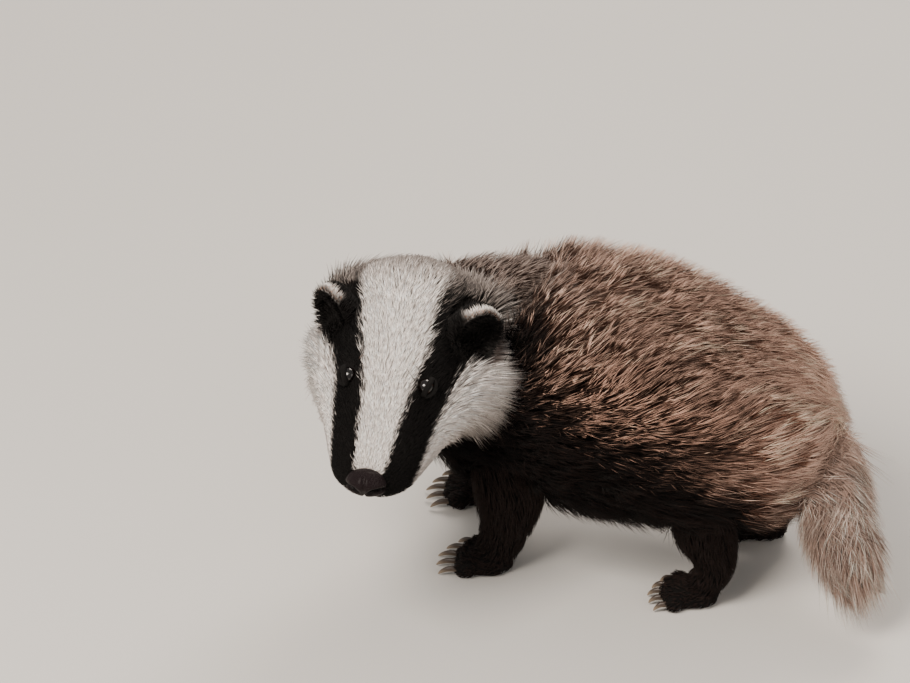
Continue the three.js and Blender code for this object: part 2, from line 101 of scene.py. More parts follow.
# A rounded form drawn along a smooth path through stations of centre, half width and half height.
class Form:
    def __init__(self, stations, cap=0.14, up=UP, square=2.0, pear=0.0):
        self.centres = np.array([s[0] for s in stations], float)
        self.widths = np.array([s[1] for s in stations], float)
        self.heights = np.array([s[2] for s in stations], float)
        self.cap = cap
        self.up = np.asarray(up, float)
        self.square = square
        self.pear = pear

    def path(self, t):
        c = self.centres
        n = len(c)
        place = np.clip(t, 0, 1) * (n - 1)
        i = np.minimum(place.astype(int), n - 2)
        u = (place - i)[:, None]
        c = np.vstack([2 * c[0] - c[1], c, 2 * c[-1] - c[-2]])
        p0, p1, p2, p3 = c[i], c[i + 1], c[i + 2], c[i + 3]
        d0, d1, d2 = (
            np.sqrt(np.linalg.norm(b - a, axis=1))[:, None]
            for a, b in ((p0, p1), (p1, p2), (p2, p3))
        )
        m1 = ((p1 - p0) / d0 - (p2 - p0) / (d0 + d1) + (p2 - p1) / d1) * d1
        m2 = ((p2 - p1) / d1 - (p3 - p1) / (d1 + d2) + (p3 - p2) / d2) * d1
        cubic = 2 * p1 - 2 * p2 + m1 + m2
        return p1 + u * (m1 + u * (3 * p2 - 3 * p1 - 2 * m1 - m2 + u * cubic))

    def between(self, values, t):
        n = len(values)
        place = np.clip(t, 0, 1) * (n - 1)
        i = np.minimum(place.astype(int), n - 2)
        u = place - i
        v = np.concatenate([[values[0]], values, [values[-1]]])
        p0, p1, p2, p3 = v[i], v[i + 1], v[i + 2], v[i + 3]
        cubic = 3 * (p1 - p2) + p3 - p0
        return p1 + 0.5 * u * (p2 - p0 + u * (2 * p0 - 5 * p1 + 4 * p2 - p3 + u * cubic))

    def squared(self, x):
        return np.sign(x) * np.abs(x) ** (2 / self.square)

    def at(self, t, turn, grow=0.0):
        t, turn = np.broadcast_arrays(np.atleast_1d(np.asarray(t, float)), np.asarray(turn, float))
        ends = np.clip(t + 1e-4, 0, 1), np.clip(t - 1e-4, 0, 1)
        along = unit(self.path(ends[0]) - self.path(ends[1]))
        across = unit(np.cross(self.up, along))
        top = np.cross(along, across)
        near_end = np.minimum(np.minimum(t, 1 - t) / self.cap, 1)
        rounding = np.sqrt(np.maximum(0, 1 - (1 - near_end) ** 2))
        rise = self.squared(np.sin(turn))
        width = self.between(self.widths, t) * rounding * (1 - self.pear * rise)
        height = self.between(self.heights, t) * rounding
        small = np.sqrt(rounding)
        wide = (np.maximum(width + grow * small, 0)) * self.squared(np.cos(turn))
        high = (np.maximum(height + grow * small, 0)) * rise
        return self.path(t) + across * wide[:, None] + top * high[:, None]


def skull_station(nose, top, bottom, width):
    return head_point(nose, 0, (top + bottom) / 2), width, (top - bottom) / 2


FORMS = {
    "trunk": Form(
        [
            (body_point(124, 0, 114), 28, 34),
            (body_point(96, 0, 113), 44, 56),
            (body_point(58, 0, 112), 54, 65),
            (body_point(20, 0, 113), 62, 69),
            (body_point(-20, 0, 109), 66, 66),
            (body_point(-58, 0, 100), 65, 59),
            (body_point(-92, 0, 92), 56, 50),
            (body_point(-122, 0, 83), 41, 39),
        ],
        cap=0.2,
        square=2.6,
    ),
    "neck": Form(
        [
            (head_point(-8, 0, -44), 33, 33),
            ((-16, 4, 146), 41, 43),
            ((14, 24, 134), 45, 50),
            ((62, 20, 123), 48, 55),
        ],
    ),
    "tail": Form(
        [
            (body_point(-98, 0, 104), 14, 14),
            (body_point(-124, 6, 88), 15, 15),
            (body_point(-138, 24, 63), 14, 14),
            (body_point(-151, 42, 42), 12, 12),
            (body_point(-159, 51, 31), 7, 7),
        ],
        up=LEFT,
    ),
    "skull": Form(
        [
            skull_station(115, -7, -33, 17),
            skull_station(98, -2, -42, 25),
            skull_station(78, 1, -52, 32),
            skull_station(58, 4, -62, 39),
            skull_station(34, 5, -71, 45),
            skull_station(8, 1, -78, 49),
            skull_station(-18, -7, -78, 47),
            skull_station(-42, -22, -68, 34),
        ],
        cap=0.12,
        up=HEAD_UP,
        pear=0.26,
    ),
}
# How far the skin lies inside each form of the solids.
INSET = {"trunk": 10.0, "neck": 8.0, "tail": 7.0, "skull": 2.6}

LEGS = {
    "foreleg_left": ((66, 26, 84), (57, 34, 56), (61, 37, 24), (65, 38), 1, 4, "fore"),
    "foreleg_right": ((76, -26, 84), (73, -34, 56), (86, -37, 24), (92, -38), -1, 4, "fore"),
    "hindleg_left": ((-62, 28, 84), (-62, 37, 54), (-70, 41, 26), (-62, 42), 1, -6, "hind"),
    "hindleg_right": ((-70, -28, 84), (-77, -37, 54), (-92, -41, 26), (-86, -42), -1, -6, "hind"),
}
LIMB_THICKNESS = {"fore": (20, 19, 15), "hind": (22, 18, 13)}
PAW_SIZE = {"fore": (37, 34, 13, 12), "hind": (33, 38, 11, 8)}

toe_forms = []
claw_forms = []
for leg_name, (shoulder, elbow, wrist, foot, side, toe_in, kind) in LEGS.items():
    thick = LIMB_THICKNESS[kind]
    paw_width, paw_length, toe_length, claw_length = PAW_SIZE[kind]
    heel = body_point(foot[0], foot[1], 0)
    swing = math.radians(-side * toe_in)
    paw_ahead = AHEAD * math.cos(swing) + np.cross(UP, AHEAD) * math.sin(swing)
    paw_left = np.cross(UP, paw_ahead)

    def paw_place(forward, left, height):
        return heel + forward * paw_ahead + left * paw_left + height * UP

    FORMS[leg_name] = Form(
        [
            (body_point(*shoulder), thick[0], thick[0]),
            (body_point(*elbow), thick[1], thick[1] * 1.08),
            (body_point(*wrist), thick[2], thick[2]),
            (paw_place(paw_length * 0.08, 0, 8), thick[2] * 0.94, thick[2] * 0.94),
        ],
        up=AHEAD,
    )
    INSET[leg_name] = 3.5
    FORMS["paw_" + leg_name] = Form(
        [
            (paw_place(-paw_length * 0.3, 0, 6), paw_width * 0.28, 8),
            (paw_place(paw_length * 0.12, 0, 7), paw_width * 0.42, 9.5),
            (paw_place(paw_length * 0.55, 0, 5), paw_width * 0.44, 7.5),
        ],
        cap=0.3,
    )
    INSET["paw_" + leg_name] = 1.6
    for k in range(5):
        fan = (k - 2) / 2
        spread = math.radians(13) * fan

        def toe_place(forward, height):
            return paw_place(
                paw_length * 0.34 + forward * math.cos(spread) - 4 * fan * fan,
                paw_width * 0.37 * fan + forward * math.sin(spread),
                height,
            )

        toe_width = paw_width * (0.125 - 0.015 * abs(fan))
        toe_forms.append(
            Form(
                [
                    (toe_place(0, 5.5), toe_width, 6),
                    (toe_place(toe_length * 0.55, 6), toe_width * 1.05, 6),
                    (toe_place(toe_length, 4), toe_width * 0.8, 4.6),
                ],
                cap=0.35,
            )
        )
        reach = claw_length * (1 - 0.15 * abs(fan))
        claw_forms.append(
            Form(
                [
                    (toe_place(toe_length - 4.5, 5.6), 1.5, 1.9),
                    (toe_place(toe_length + reach * 0.35, 5.4), 1.4, 1.8),
                    (toe_place(toe_length + reach * 0.75, 3.6), 1.0, 1.2),
                    (toe_place(toe_length + reach, 1.4), 0.45, 0.5),
                ],
                cap=0.16,
            )
        )


# Skin: one closed surface over every fleshy part, made from the same stations as the solids, merged by a
# fine remesh and softened, so that no seam shows. The ears' cups and the toes are part of it.
EAR_RADIUS = 17.0
EAR_WALL = 2.6
EAR_DEPTH = 0.62 * EAR_RADIUS
VOXEL = 0.0015
SOLE_HEIGHT = 0.15
LIP_LINE_WIDTH = 1.5


def new_object(name, mesh):
    piece = bpy.data.objects.new(name, mesh)
    bpy.context.scene.collection.objects.link(piece)
    return piece


def close_circles(bm, circles, ends):
    """One closed surface over a row of circles, fanned to a point at each end."""
    sides = len(circles[0])
    faces = []
    for a, b in zip(circles, circles[1:]):
        for k in range(sides):
            j = (k + 1) % sides
            faces.append(bm.faces.new((a[k], a[j], b[j], b[k])))
    for k in range(sides):
        j = (k + 1) % sides
        faces.append(bm.faces.new((ends[0], circles[0][j], circles[0][k])))
        faces.append(bm.faces.new((ends[1], circles[-1][k], circles[-1][j])))
    bmesh.ops.recalc_face_normals(bm, faces=faces)


def form_mesh(bm, form, sides, rings, grow=0.0):
    turns = np.arange(sides) * 2 * math.pi / sides
    circles = []
    for t in (1 - np.cos(np.linspace(0, math.pi, rings)[1:-1])) / 2:
        circle = form.at(np.full(sides, t), turns, grow)
        circles.append([bm.verts.new(p) for p in metres(circle)])
    ends = [bm.verts.new(p) for p in metres(form.at(np.array([0.0, 1.0]), 0.0, 0.0))]
    close_circles(bm, circles, ends)


def smooth_faces(mesh):
    mesh.polygons.foreach_set("use_smooth", [True] * len(mesh.polygons))
    mesh.update()


def mesh_of(bm, name):
    mesh = bpy.data.meshes.new(name)
    bm.to_mesh(mesh)
    bm.free()
    smooth_faces(mesh)
    return mesh


def read_vectors(items, key):
    values = np.empty(len(items) * 3, np.float32)
    items.foreach_get(key, values)
    return values.reshape(-1, 3).astype(float)


def points_of(mesh):
    return read_vectors(mesh.vertices, "co") * 1000 - SHIFT


def move_points(mesh, points):
    mesh.vertices.foreach_set("co", metres(points).astype(np.float32).ravel())
    smooth_faces(mesh)


def ear_axes(side):
    open_way = unit(NOSEWARD * 0.62 + HEAD_LEFT * side * 0.62 + HEAD_UP * 0.2)
    rise = HEAD_UP + HEAD_LEFT * side * 0.5
    rise = unit(rise - rise.dot(open_way) * open_way)
    across = np.cross(rise, open_way)
    centre = head_point(5, side * 40, -25) + rise * 2
    return centre, across, rise, open_way


def ear_point(side, x, y, z):
    centre, across, rise, open_way = ear_axes(side)
    x, y, z = (np.asarray(v, float)[..., None] for v in (x, y, z))
    return centre + across * x + rise * y + open_way * z


def ear_profile():
    outer = [(EAR_RADIUS * math.sin(a), -EAR_DEPTH * math.cos(a)) for a in np.linspace(0.12, 1.9, 12)]
    inside = EAR_RADIUS - EAR_WALL
    depth = EAR_DEPTH - EAR_WALL
    inner = [
        (inside * math.sin(a), 0.34 * EAR_RADIUS - depth * math.cos(a))
        for a in np.linspace(math.pi / 2 - 0.15, 0.1, 10)
    ]
    return outer + inner


def ear_mesh(bm, side, sides=40):
    profile = ear_profile()
    circles = []
    for radius, depth in profile:
        turns = np.arange(sides) * 2 * math.pi / sides
        ring = ear_point(side, radius * np.cos(turns), 1.08 * radius * np.sin(turns), depth + 0 * turns)
        circles.append([bm.verts.new(p) for p in metres(ring)])
    poles = [
        bm.verts.new(metres(ear_point(side, 0.0, 0.0, depth)))
        for depth in (-EAR_DEPTH, profile[-1][1] - 0.05)
    ]
    close_circles(bm, circles, poles)


bm = bmesh.new()
for form_name, form in FORMS.items():
    form_mesh(bm, form, 64, 56, -INSET[form_name])
for form in toe_forms:
    form_mesh(bm, form, 20, 18, -0.7)
for side in (1, -1):
    ear_mesh(bm, side)
rough_mesh = mesh_of(bm, "skin_rough")
rough = new_object("skin_rough", rough_mesh)
remesh = rough.modifiers.new("remesh", "REMESH")
remesh.mode = "VOXEL"
remesh.voxel_size = VOXEL
soften = rough.modifiers.new("soften", "SMOOTH")
soften.factor = 0.5
soften.iterations = 5
skin_mesh = bpy.data.meshes.new_from_object(rough.evaluated_get(bpy.context.evaluated_depsgraph_get()))
skin_mesh.name = "skin"
bpy.data.objects.remove(rough)
skin = new_object("skin", skin_mesh)
skin_points = points_of(skin_mesh)

# Paw soles are flat on the floor, and the mouth's line is pressed in under a full upper lip.
skin_points[:, 2] = np.maximum(skin_points[:, 2], SOLE_HEIGHT)
mouth_t = np.interp(np.linspace(0, 1, 60), np.linspace(0, 1, 5), [0.05, 0.12, 0.22, 0.33, 0.43])
mouth_turn = np.interp(np.linspace(0, 1, 60), np.linspace(0, 1, 5), [-1.25, -0.86, -0.68, -0.6, -0.62])
skull = FORMS["skull"]
mouth_depth = np.zeros(len(skin_points))
for turns in (mouth_turn, math.pi - mouth_turn):
    line = skull.at(mouth_t, turns, -2.6)
    lip = skull.at(mouth_t, np.where(turns < 1.0, turns + 0.14, turns - 0.14), -2.6)
    near = np.flatnonzero(np.linalg.norm(skin_points - head_point(75, 0, -30), axis=1) < 75)
    gaps = np.linalg.norm(skin_points[near][:, None] - line[None], axis=2).min(1)
    swell = np.linalg.norm(skin_points[near][:, None] - lip[None], axis=2).min(1)
    inward = unit(skull.path(np.full(len(near), 0.3)) - skin_points[near])
    mouth_depth[near] = np.maximum(mouth_depth[near], np.exp(-((gaps / LIP_LINE_WIDTH) ** 2)))
    push = 2.2 * np.exp(-((gaps / LIP_LINE_WIDTH) ** 2)) - 1.3 * np.exp(-((swell / 3.2) ** 2))
    skin_points[near] += inward * push[:, None]
move_points(skin_mesh, skin_points)
skin_normals = read_vectors(skin_mesh.vertex_normals, "vector")


# Where each place of the skin lies on the forms: the nearest form, how far along and round it is, and
# the lie of the coat there, blended between forms so that no edge shows where they meet.
REGIONS = list(FORMS)


def region_samples():
    samples = []
    for name in REGIONS:
        form = FORMS[name]
        t, turn = np.meshgrid(np.linspace(0.03, 0.97, 60), np.linspace(-math.pi, math.pi, 73)[:-1])
        t, turn = t.ravel(), turn.ravel()
        inset = -INSET[name]
        place = form.at(t, turn, inset)
        step = 0.01
        back = unit(form.at(t + step, turn, inset) - form.at(t - step, turn, inset))
        samples.append((place, back, t, turn))
    return samples


def tree_of(places):
    tree = KDTree(len(places))
    for i, place in enumerate(places):
        tree.insert(place, i)
    tree.balance()
    return tree


SAMPLES = region_samples()
TREES = [tree_of(places) for places, _, _, _ in SAMPLES]


def locate(points):
    """The nearest form of each point, its t and turn there, and the blended way back along the forms."""
    count = len(points)
    distance = np.full((len(REGIONS), count), 1e3)
    index = np.zeros((len(REGIONS), count), int)
    for r, tree in enumerate(TREES):
        low = SAMPLES[r][0].min(0) - 25
        high = SAMPLES[r][0].max(0) + 25
        for i in np.flatnonzero(((points > low) & (points < high)).all(1)):
            _, k, d = tree.find(points[i])
            distance[r, i] = d
            index[r, i] = k
    region = distance.argmin(0)
    weights = 1 / (distance + 1.5) ** 3
    lie = np.zeros((count, 3))
    for r in range(len(REGIONS)):
        lie += weights[r][:, None] * SAMPLES[r][1][index[r]]
    own = index[region, np.arange(count)]
    t = np.array([SAMPLES[r][2][k] for r, k in zip(region, own)])
    turn = np.array([SAMPLES[r][3][k] for r, k in zip(region, own)])
    return region, t, turn, unit(lie)


def linear(hex_colour):
    channels = [int(hex_colour[i : i + 2], 16) / 255 for i in (1, 3, 5)]
    return np.array([c / 12.92 if c <= 0.04045 else ((c + 0.055) / 1.055) ** 2.4 for c in channels])


# Markings, the same for skin and coat: the colour of a hair's band, which shows as the dark between the
# tips, and of its tip, worked out from the place on the body.
PALETTE = {
    name: linear(code)
    for name, code in {
        "white": "#fbf3ed",
        "cream": "#eec9b5",
        "tan": "#dfb099",
        "smoke": "#b3988a",
        "ash": "#a1968f",
        "umber": "#8a6250",
        "band": "#180c08",
        "brown": "#1d1310",
        "black": "#0b0807",
    }.items()
}
BLAZE_T = [0.05, 0.1, 0.155, 0.227, 0.31, 0.41, 0.51, 0.6, 0.7, 0.8, 0.9, 1.0]
BLAZE_HALF = [0.66, 0.62, 0.58, 0.55, 0.51, 0.5, 0.545, 0.58, 0.58, 0.62, 0.7, 0.8]
STRIPE_T = [0.0, 0.1, 0.2, 0.29, 0.37, 0.47, 0.56, 0.65, 0.75, 0.85, 1.0]
STRIPE_OUTER = [2.6, 2.0, 1.6, 1.38, 1.26, 1.2, 1.24, 1.42, 1.6, 1.6, 1.5]
# Heights along the trunk below which the coat is black: the black chest and belly, raised up the lower flank
# as painted shade.
DARK_T = [0.0, 0.15, 0.36, 0.55, 0.75, 0.9, 1.0]
BLACK_AND_SHADE_BELOW = [145, 145, 130, 113, 96, 64, 30]
COLLAR_MIDDLE = head_point(-10, 0, -40)


def smoothstep(low, high, x):
    u = np.clip((x - low) / (high - low), 0, 1)
    return u * u * (3 - 2 * u)


def mix(a, b, share):
    share = np.asarray(share)[..., None]
    return a * (1 - share) + b * share


def markings(points, region, t, turn, jitter=0.0):
    """Band and tip colours of the coat, two arrays of linear colours."""
    count = len(points)
    name = np.array(REGIONS)[region]
    noise = rng.normal(0, 1, count) * jitter

    # Trunk: smoky grizzle at the shoulder, tan with dark bands on the flank, pale at the rump, and
    # black on the chest and belly; this black is carried up the lower flank as painted shade.
    is_trunk = name == "trunk"
    shoulder = smoothstep(0.52, 0.28, t + 0.05 * noise)
    rump = smoothstep(0.68, 0.92, t + 0.05 * noise)
    high = smoothstep(0.2, 0.9, np.sin(turn))
    tip = mix(np.tile(PALETTE["tan"], (count, 1)), PALETTE["smoke"], 0.75 * shoulder)
    tip = mix(tip, PALETTE["cream"], np.maximum(rump, 0.6 * high))
    pale_band = 0.75 * rump + 0.25 * high * (1 - rump)
    band = mix(np.tile(PALETTE["band"], (count, 1)), PALETTE["umber"], pale_band)
    edge = np.interp(t, DARK_T, BLACK_AND_SHADE_BELOW)
    dark = np.where(is_trunk, smoothstep(10.0, -12.0, points[:, 2] + 6 * noise - edge), 0.0)

    # Neck: grizzled on the nape, a black band behind each white cheek, black under the throat.
    is_neck = name == "neck"
    over = smoothstep(0.3, 0.85, np.sin(turn) + 0.12 * noise)
    nape = np.maximum(is_neck * 1.0, is_trunk * smoothstep(0.48, 0.2, t + 0.05 * noise) * high)
    tip = mix(tip, PALETTE["ash"] * 1.2, nape * 0.8)
    band = mix(band, PALETTE["brown"], nape * 0.8)
    behind = smoothstep(0.72, 0.5, t + 0.05 * noise)
    throat = smoothstep(0.1, -0.4, np.sin(turn))
    dark = np.where(is_neck, np.maximum((1 - over) * behind, throat), dark)

    # The collar: a black ring round the neck behind the white cheeks, open over the nape.
    from_head = np.linalg.norm(points - COLLAR_MIDDLE, axis=1) + 3 * noise
    collar = smoothstep(87.0, 73.0, from_head) * smoothstep(168.0, 157.0, points[:, 2] + 3 * noise)
    dark = np.where(is_trunk | is_neck, np.maximum(dark, collar), dark)

    # Tail: pale to its tip.
    is_tail = name == "tail"
    tip = mix(tip, PALETTE["cream"] * 0.6 + PALETTE["white"] * 0.4, is_tail * 1.0)
    band = mix(band, PALETTE["smoke"] * 0.8, is_tail * 1.0)

    # Legs and paws: black-brown.
    dark = np.where(np.array(["leg" in n for n in name]), 1.0, dark)
    band = mix(band, PALETTE["black"], dark)
    tip = mix(tip, PALETTE["brown"], dark)

    # Head: a white blaze between two black stripes that run through the eye and over the ear, with
    # white cheeks below them and a black throat and muzzle tip.
    is_head = (name == "skull") * 1.0
    centre = math.pi / 2 + np.interp(t, [0.0, 0.5, 0.6, 0.75, 1.0], [0.07, 0.07, 0.0, -0.1, -0.1])
    angle = np.abs((turn - centre + math.pi) % (2 * math.pi) - math.pi) + 0.03 * noise
    inner = np.interp(t, BLAZE_T, BLAZE_HALF)
    outer = np.interp(t, STRIPE_T, STRIPE_OUTER)
    soft = 0.06
    blaze = smoothstep(inner + soft, inner - soft, angle) * smoothstep(0.04, 0.07, t)
    cheek = smoothstep(outer - soft, outer + soft, angle) * smoothstep(0.1, 0.2, t)
    under = smoothstep(2.25, 2.5, angle + 0.05 * noise) * smoothstep(0.12, 0.34, t)
    white = np.maximum(blaze, cheek * (1 - under))
    # The lower, downward-facing part of each white cheek is darkened towards ash: painted shade.
    cheek_painted_shade = cheek * smoothstep(1.6, 2.2, angle) * 0.8
    white_tip = mix(np.tile(PALETTE["white"], (count, 1)), PALETTE["ash"] * 0.75, cheek_painted_shade)
    white_band = mix(PALETTE["white"] * 0.72, PALETTE["umber"] * 0.7, cheek * smoothstep(0.35, 0.6, t) * 0.6)
    fade = smoothstep(0.76, 0.92, t + 0.05 * noise) * smoothstep(1.9, 1.5, angle)
    face_tip = mix(mix(PALETTE["black"], white_tip, white), PALETTE["ash"], 0.9 * fade)
    face_band = mix(mix(PALETTE["black"], white_band, white), PALETTE["brown"], 0.95 * fade)
    band = mix(band, face_band, is_head)
    tip = mix(tip, face_tip, is_head)
    return band, tip


skin_region, skin_t, skin_turn, skin_lie = locate(skin_points)
skin_band, skin_tip = markings(skin_points, skin_region, skin_t, skin_turn)
on_face = (skin_region == REGIONS.index("skull")) * 1.0
skin_colour = mix(skin_band * 0.8, skin_tip * 0.8, 0.1 + 0.6 * on_face)
skin_colour = mix(skin_colour, PALETTE["black"] * 0.6, 0.85 * mouth_depth)


# Ears: near each cup the skin and its fur are black, with a short white edge along the rim's top and
# back, away from the crown.
def ear_place(points, side):
    centre, across, rise, open_way = ear_axes(side)
    local = points - centre
    x, y, z = local @ across, local @ rise / 1.08, local @ open_way
    away = x * side * np.sign(across @ HEAD_LEFT)
    return away / EAR_RADIUS, y / EAR_RADIUS, z, np.linalg.norm(local, axis=1)


def ear_share(points):
    on_ear = np.zeros(len(points))
    rim = np.zeros(len(points))
    for side in (1, -1):
        away, high, z, distance = ear_place(points, side)
        close = smoothstep(EAR_RADIUS * 1.3, EAR_RADIUS * 1.12, distance)
        edge = smoothstep(0.88, 0.99, np.hypot(away, high)) * smoothstep(-1.2, 0.7, z)
        edge = edge * smoothstep(0.1, 0.5, high) * smoothstep(-0.6, -0.2, away)
        on_ear = np.maximum(on_ear, close)
        rim = np.maximum(rim, edge * close)
    return on_ear, rim


def paint(mesh, name, colours):
    layer = mesh.color_attributes.new(name, "FLOAT_COLOR", "POINT")
    full = np.ones((len(colours), 4), np.float32)
    full[:, :3] = colours
    layer.data.foreach_set("color", full.ravel())


on_ear, ear_rim = ear_share(skin_points)
skin_colour = mix(skin_colour, PALETTE["black"], on_ear * 0.95)
skin_colour = mix(skin_colour, PALETTE["white"] * 0.8, ear_rim)
paint(skin_mesh, "coat", skin_colour)


def new_material(name):
    material = bpy.data.materials.new(name)
    material.use_nodes = True
    return material


def add_node(material, kind, **settings):
    """A node with its settings and links. A socket given as a value is linked to the input of that name.
    The shader that the material starts with is reached by its own name."""
    nodes = material.node_tree.nodes
    node = nodes[kind] if kind in nodes else nodes.new(kind)
    for key, value in settings.items():
        socket = node.inputs.get(key.replace("_", " "))
        if socket is None:
            setattr(node, key, value)
        elif isinstance(value, bpy.types.NodeSocket):
            material.node_tree.links.new(value, socket)
        else:
            socket.default_value = value
    return node


# Short fur on hide: dull, with a dark grain about a millimetre wide that reads as the roots of hairs.
skin_material = new_material("short fur on hide")
hide = add_node(skin_material, "ShaderNodeAttribute", attribute_name="coat").outputs["Color"]
object_place = add_node(skin_material, "ShaderNodeTexCoord").outputs["Object"]
grain = add_node(
    skin_material, "ShaderNodeTexNoise", Vector=object_place, Scale=900.0, Detail=4.0, Roughness=0.7
).outputs["Fac"]
tone = add_node(
    skin_material, "ShaderNodeMixRGB", blend_type="MULTIPLY", Fac=0.35, Color1=hide, Color2=grain
)
bump = add_node(skin_material, "ShaderNodeBump", Height=grain, Strength=0.6, Distance=0.0006)
add_node(
    skin_material,
    "Principled BSDF",
    Base_Color=tone.outputs["Color"],
    Roughness=0.85,
    Specular_IOR_Level=0.2,
    Normal=bump.outputs["Normal"],
)
skin_mesh.materials.clear()
skin_mesh.materials.append(skin_material)


# Lids: an upper and a lower fold of black skin round each eye. Each is a thin form that arches over the
# eyeball from corner to corner, with its ends sunk in the skin.
def lid_forms(side):
    centre = eye_centre(side)
    out = unit(HEAD_LEFT * side * 0.8 + HEAD_UP * 0.5 + NOSEWARD * 0.35)
    corner = unit(NOSEWARD - NOSEWARD.dot(out) * out)
    rise = unit(np.cross(out, corner))
    rise = rise if rise.dot(HEAD_UP) > 0 else -rise
    reach = 5.5
    folds = []
    for fold, opening in ((1, 0.5), (-1, 0.44)):
        stations = []
        for k in range(9):
            turn = math.pi * k / 8
            gape = fold * math.sin(turn) * opening
            depth = math.sqrt(max(0.05, 1 - math.cos(turn) ** 2 * 0.86 - gape * gape))
            place = centre + reach * (corner * 0.98 * math.cos(turn) + rise * gape + out * depth)
            stations.append((place, 1.5, 1.7))
        folds.append(Form(stations, cap=0.1, up=out))
    return folds


bm = bmesh.new()
for side in (1, -1):
    for fold in lid_forms(side):
        form_mesh(bm, fold, 14, 30)
lids_mesh = mesh_of(bm, "lids")
paint(lids_mesh, "coat", np.tile(PALETTE["black"] * 0.8, (len(lids_mesh.vertices), 1)))
lids_mesh.materials.append(skin_material)
lids = new_object("eyelids", lids_mesh)
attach(lids, "root")

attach(skin, "root")
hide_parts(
    "torso",
    "neck",
    "head",
    "tail",
    "ear_left",
    "ear_right",
    "foreleg_left",
    "foreleg_right",
    "hindleg_left",
    "hindleg_right",
)


# Coat: hairs as thin three-sided tapered meshes, each with its root in the skin, a bend or two, and a
# point. Their roots are drawn over the skin's faces, with the share of each region set below.
skin_mesh.calc_loop_triangles()
corner_ids = np.empty(len(skin_mesh.loop_triangles) * 3, np.int32)
skin_mesh.loop_triangles.foreach_get("vertices", corner_ids)
corner_ids = corner_ids.reshape(-1, 3)
corners = skin_points[corner_ids]
face_cross = np.cross(corners[:, 1] - corners[:, 0], corners[:, 2] - corners[:, 0])
face_area = np.linalg.norm(face_cross, axis=1) / 2
face_region = skin_region[corner_ids[:, 0]]
face_t = skin_t[corner_ids[:, 0]]
face_middle = corners.mean(1)
face_on_ear = on_ear[corner_ids[:, 0]]

skin_tree = BVHTree.FromPolygons([Vector(p) for p in skin_points], corner_ids.tolist())


def scatter(mask, per_mm2):
    """Roots drawn over the masked faces: places, normals, lie, region, t and turn of each."""
    weight = face_area * mask
    total = int(round((weight * per_mm2).sum()))
    chosen = rng.choice(len(weight), total, p=weight * per_mm2 / (weight * per_mm2).sum())
    a = rng.random((total, 1))
    b = rng.random((total, 1))
    a, b = np.where(a + b > 1, 1 - a, a), np.where(a + b > 1, 1 - b, b)
    ids = corner_ids[chosen]
    shares = (1 - a - b, a, b)
    place = sum(s * skin_points[ids[:, i]] for i, s in enumerate(shares))
    normal = unit(sum(s * skin_normals[ids[:, i]] for i, s in enumerate(shares)))
    lie = unit(sum(s * skin_lie[ids[:, i]] for i, s in enumerate(shares)))
    nearest = ids[:, 0]
    return place, normal, lie, skin_region[nearest], skin_t[nearest], skin_turn[nearest]


def flat_on(lie, normal):
    return unit(lie - (lie * normal).sum(1)[:, None] * normal)


def surface_under(points):
    place = np.empty_like(points)
    normal = np.empty_like(points)
    for i, p in enumerate(points):
        hit, face_normal, _, _ = skin_tree.find_nearest(p)
        place[i] = hit
        normal[i] = face_normal
    return place, normal


HAIR_UV = 0.003


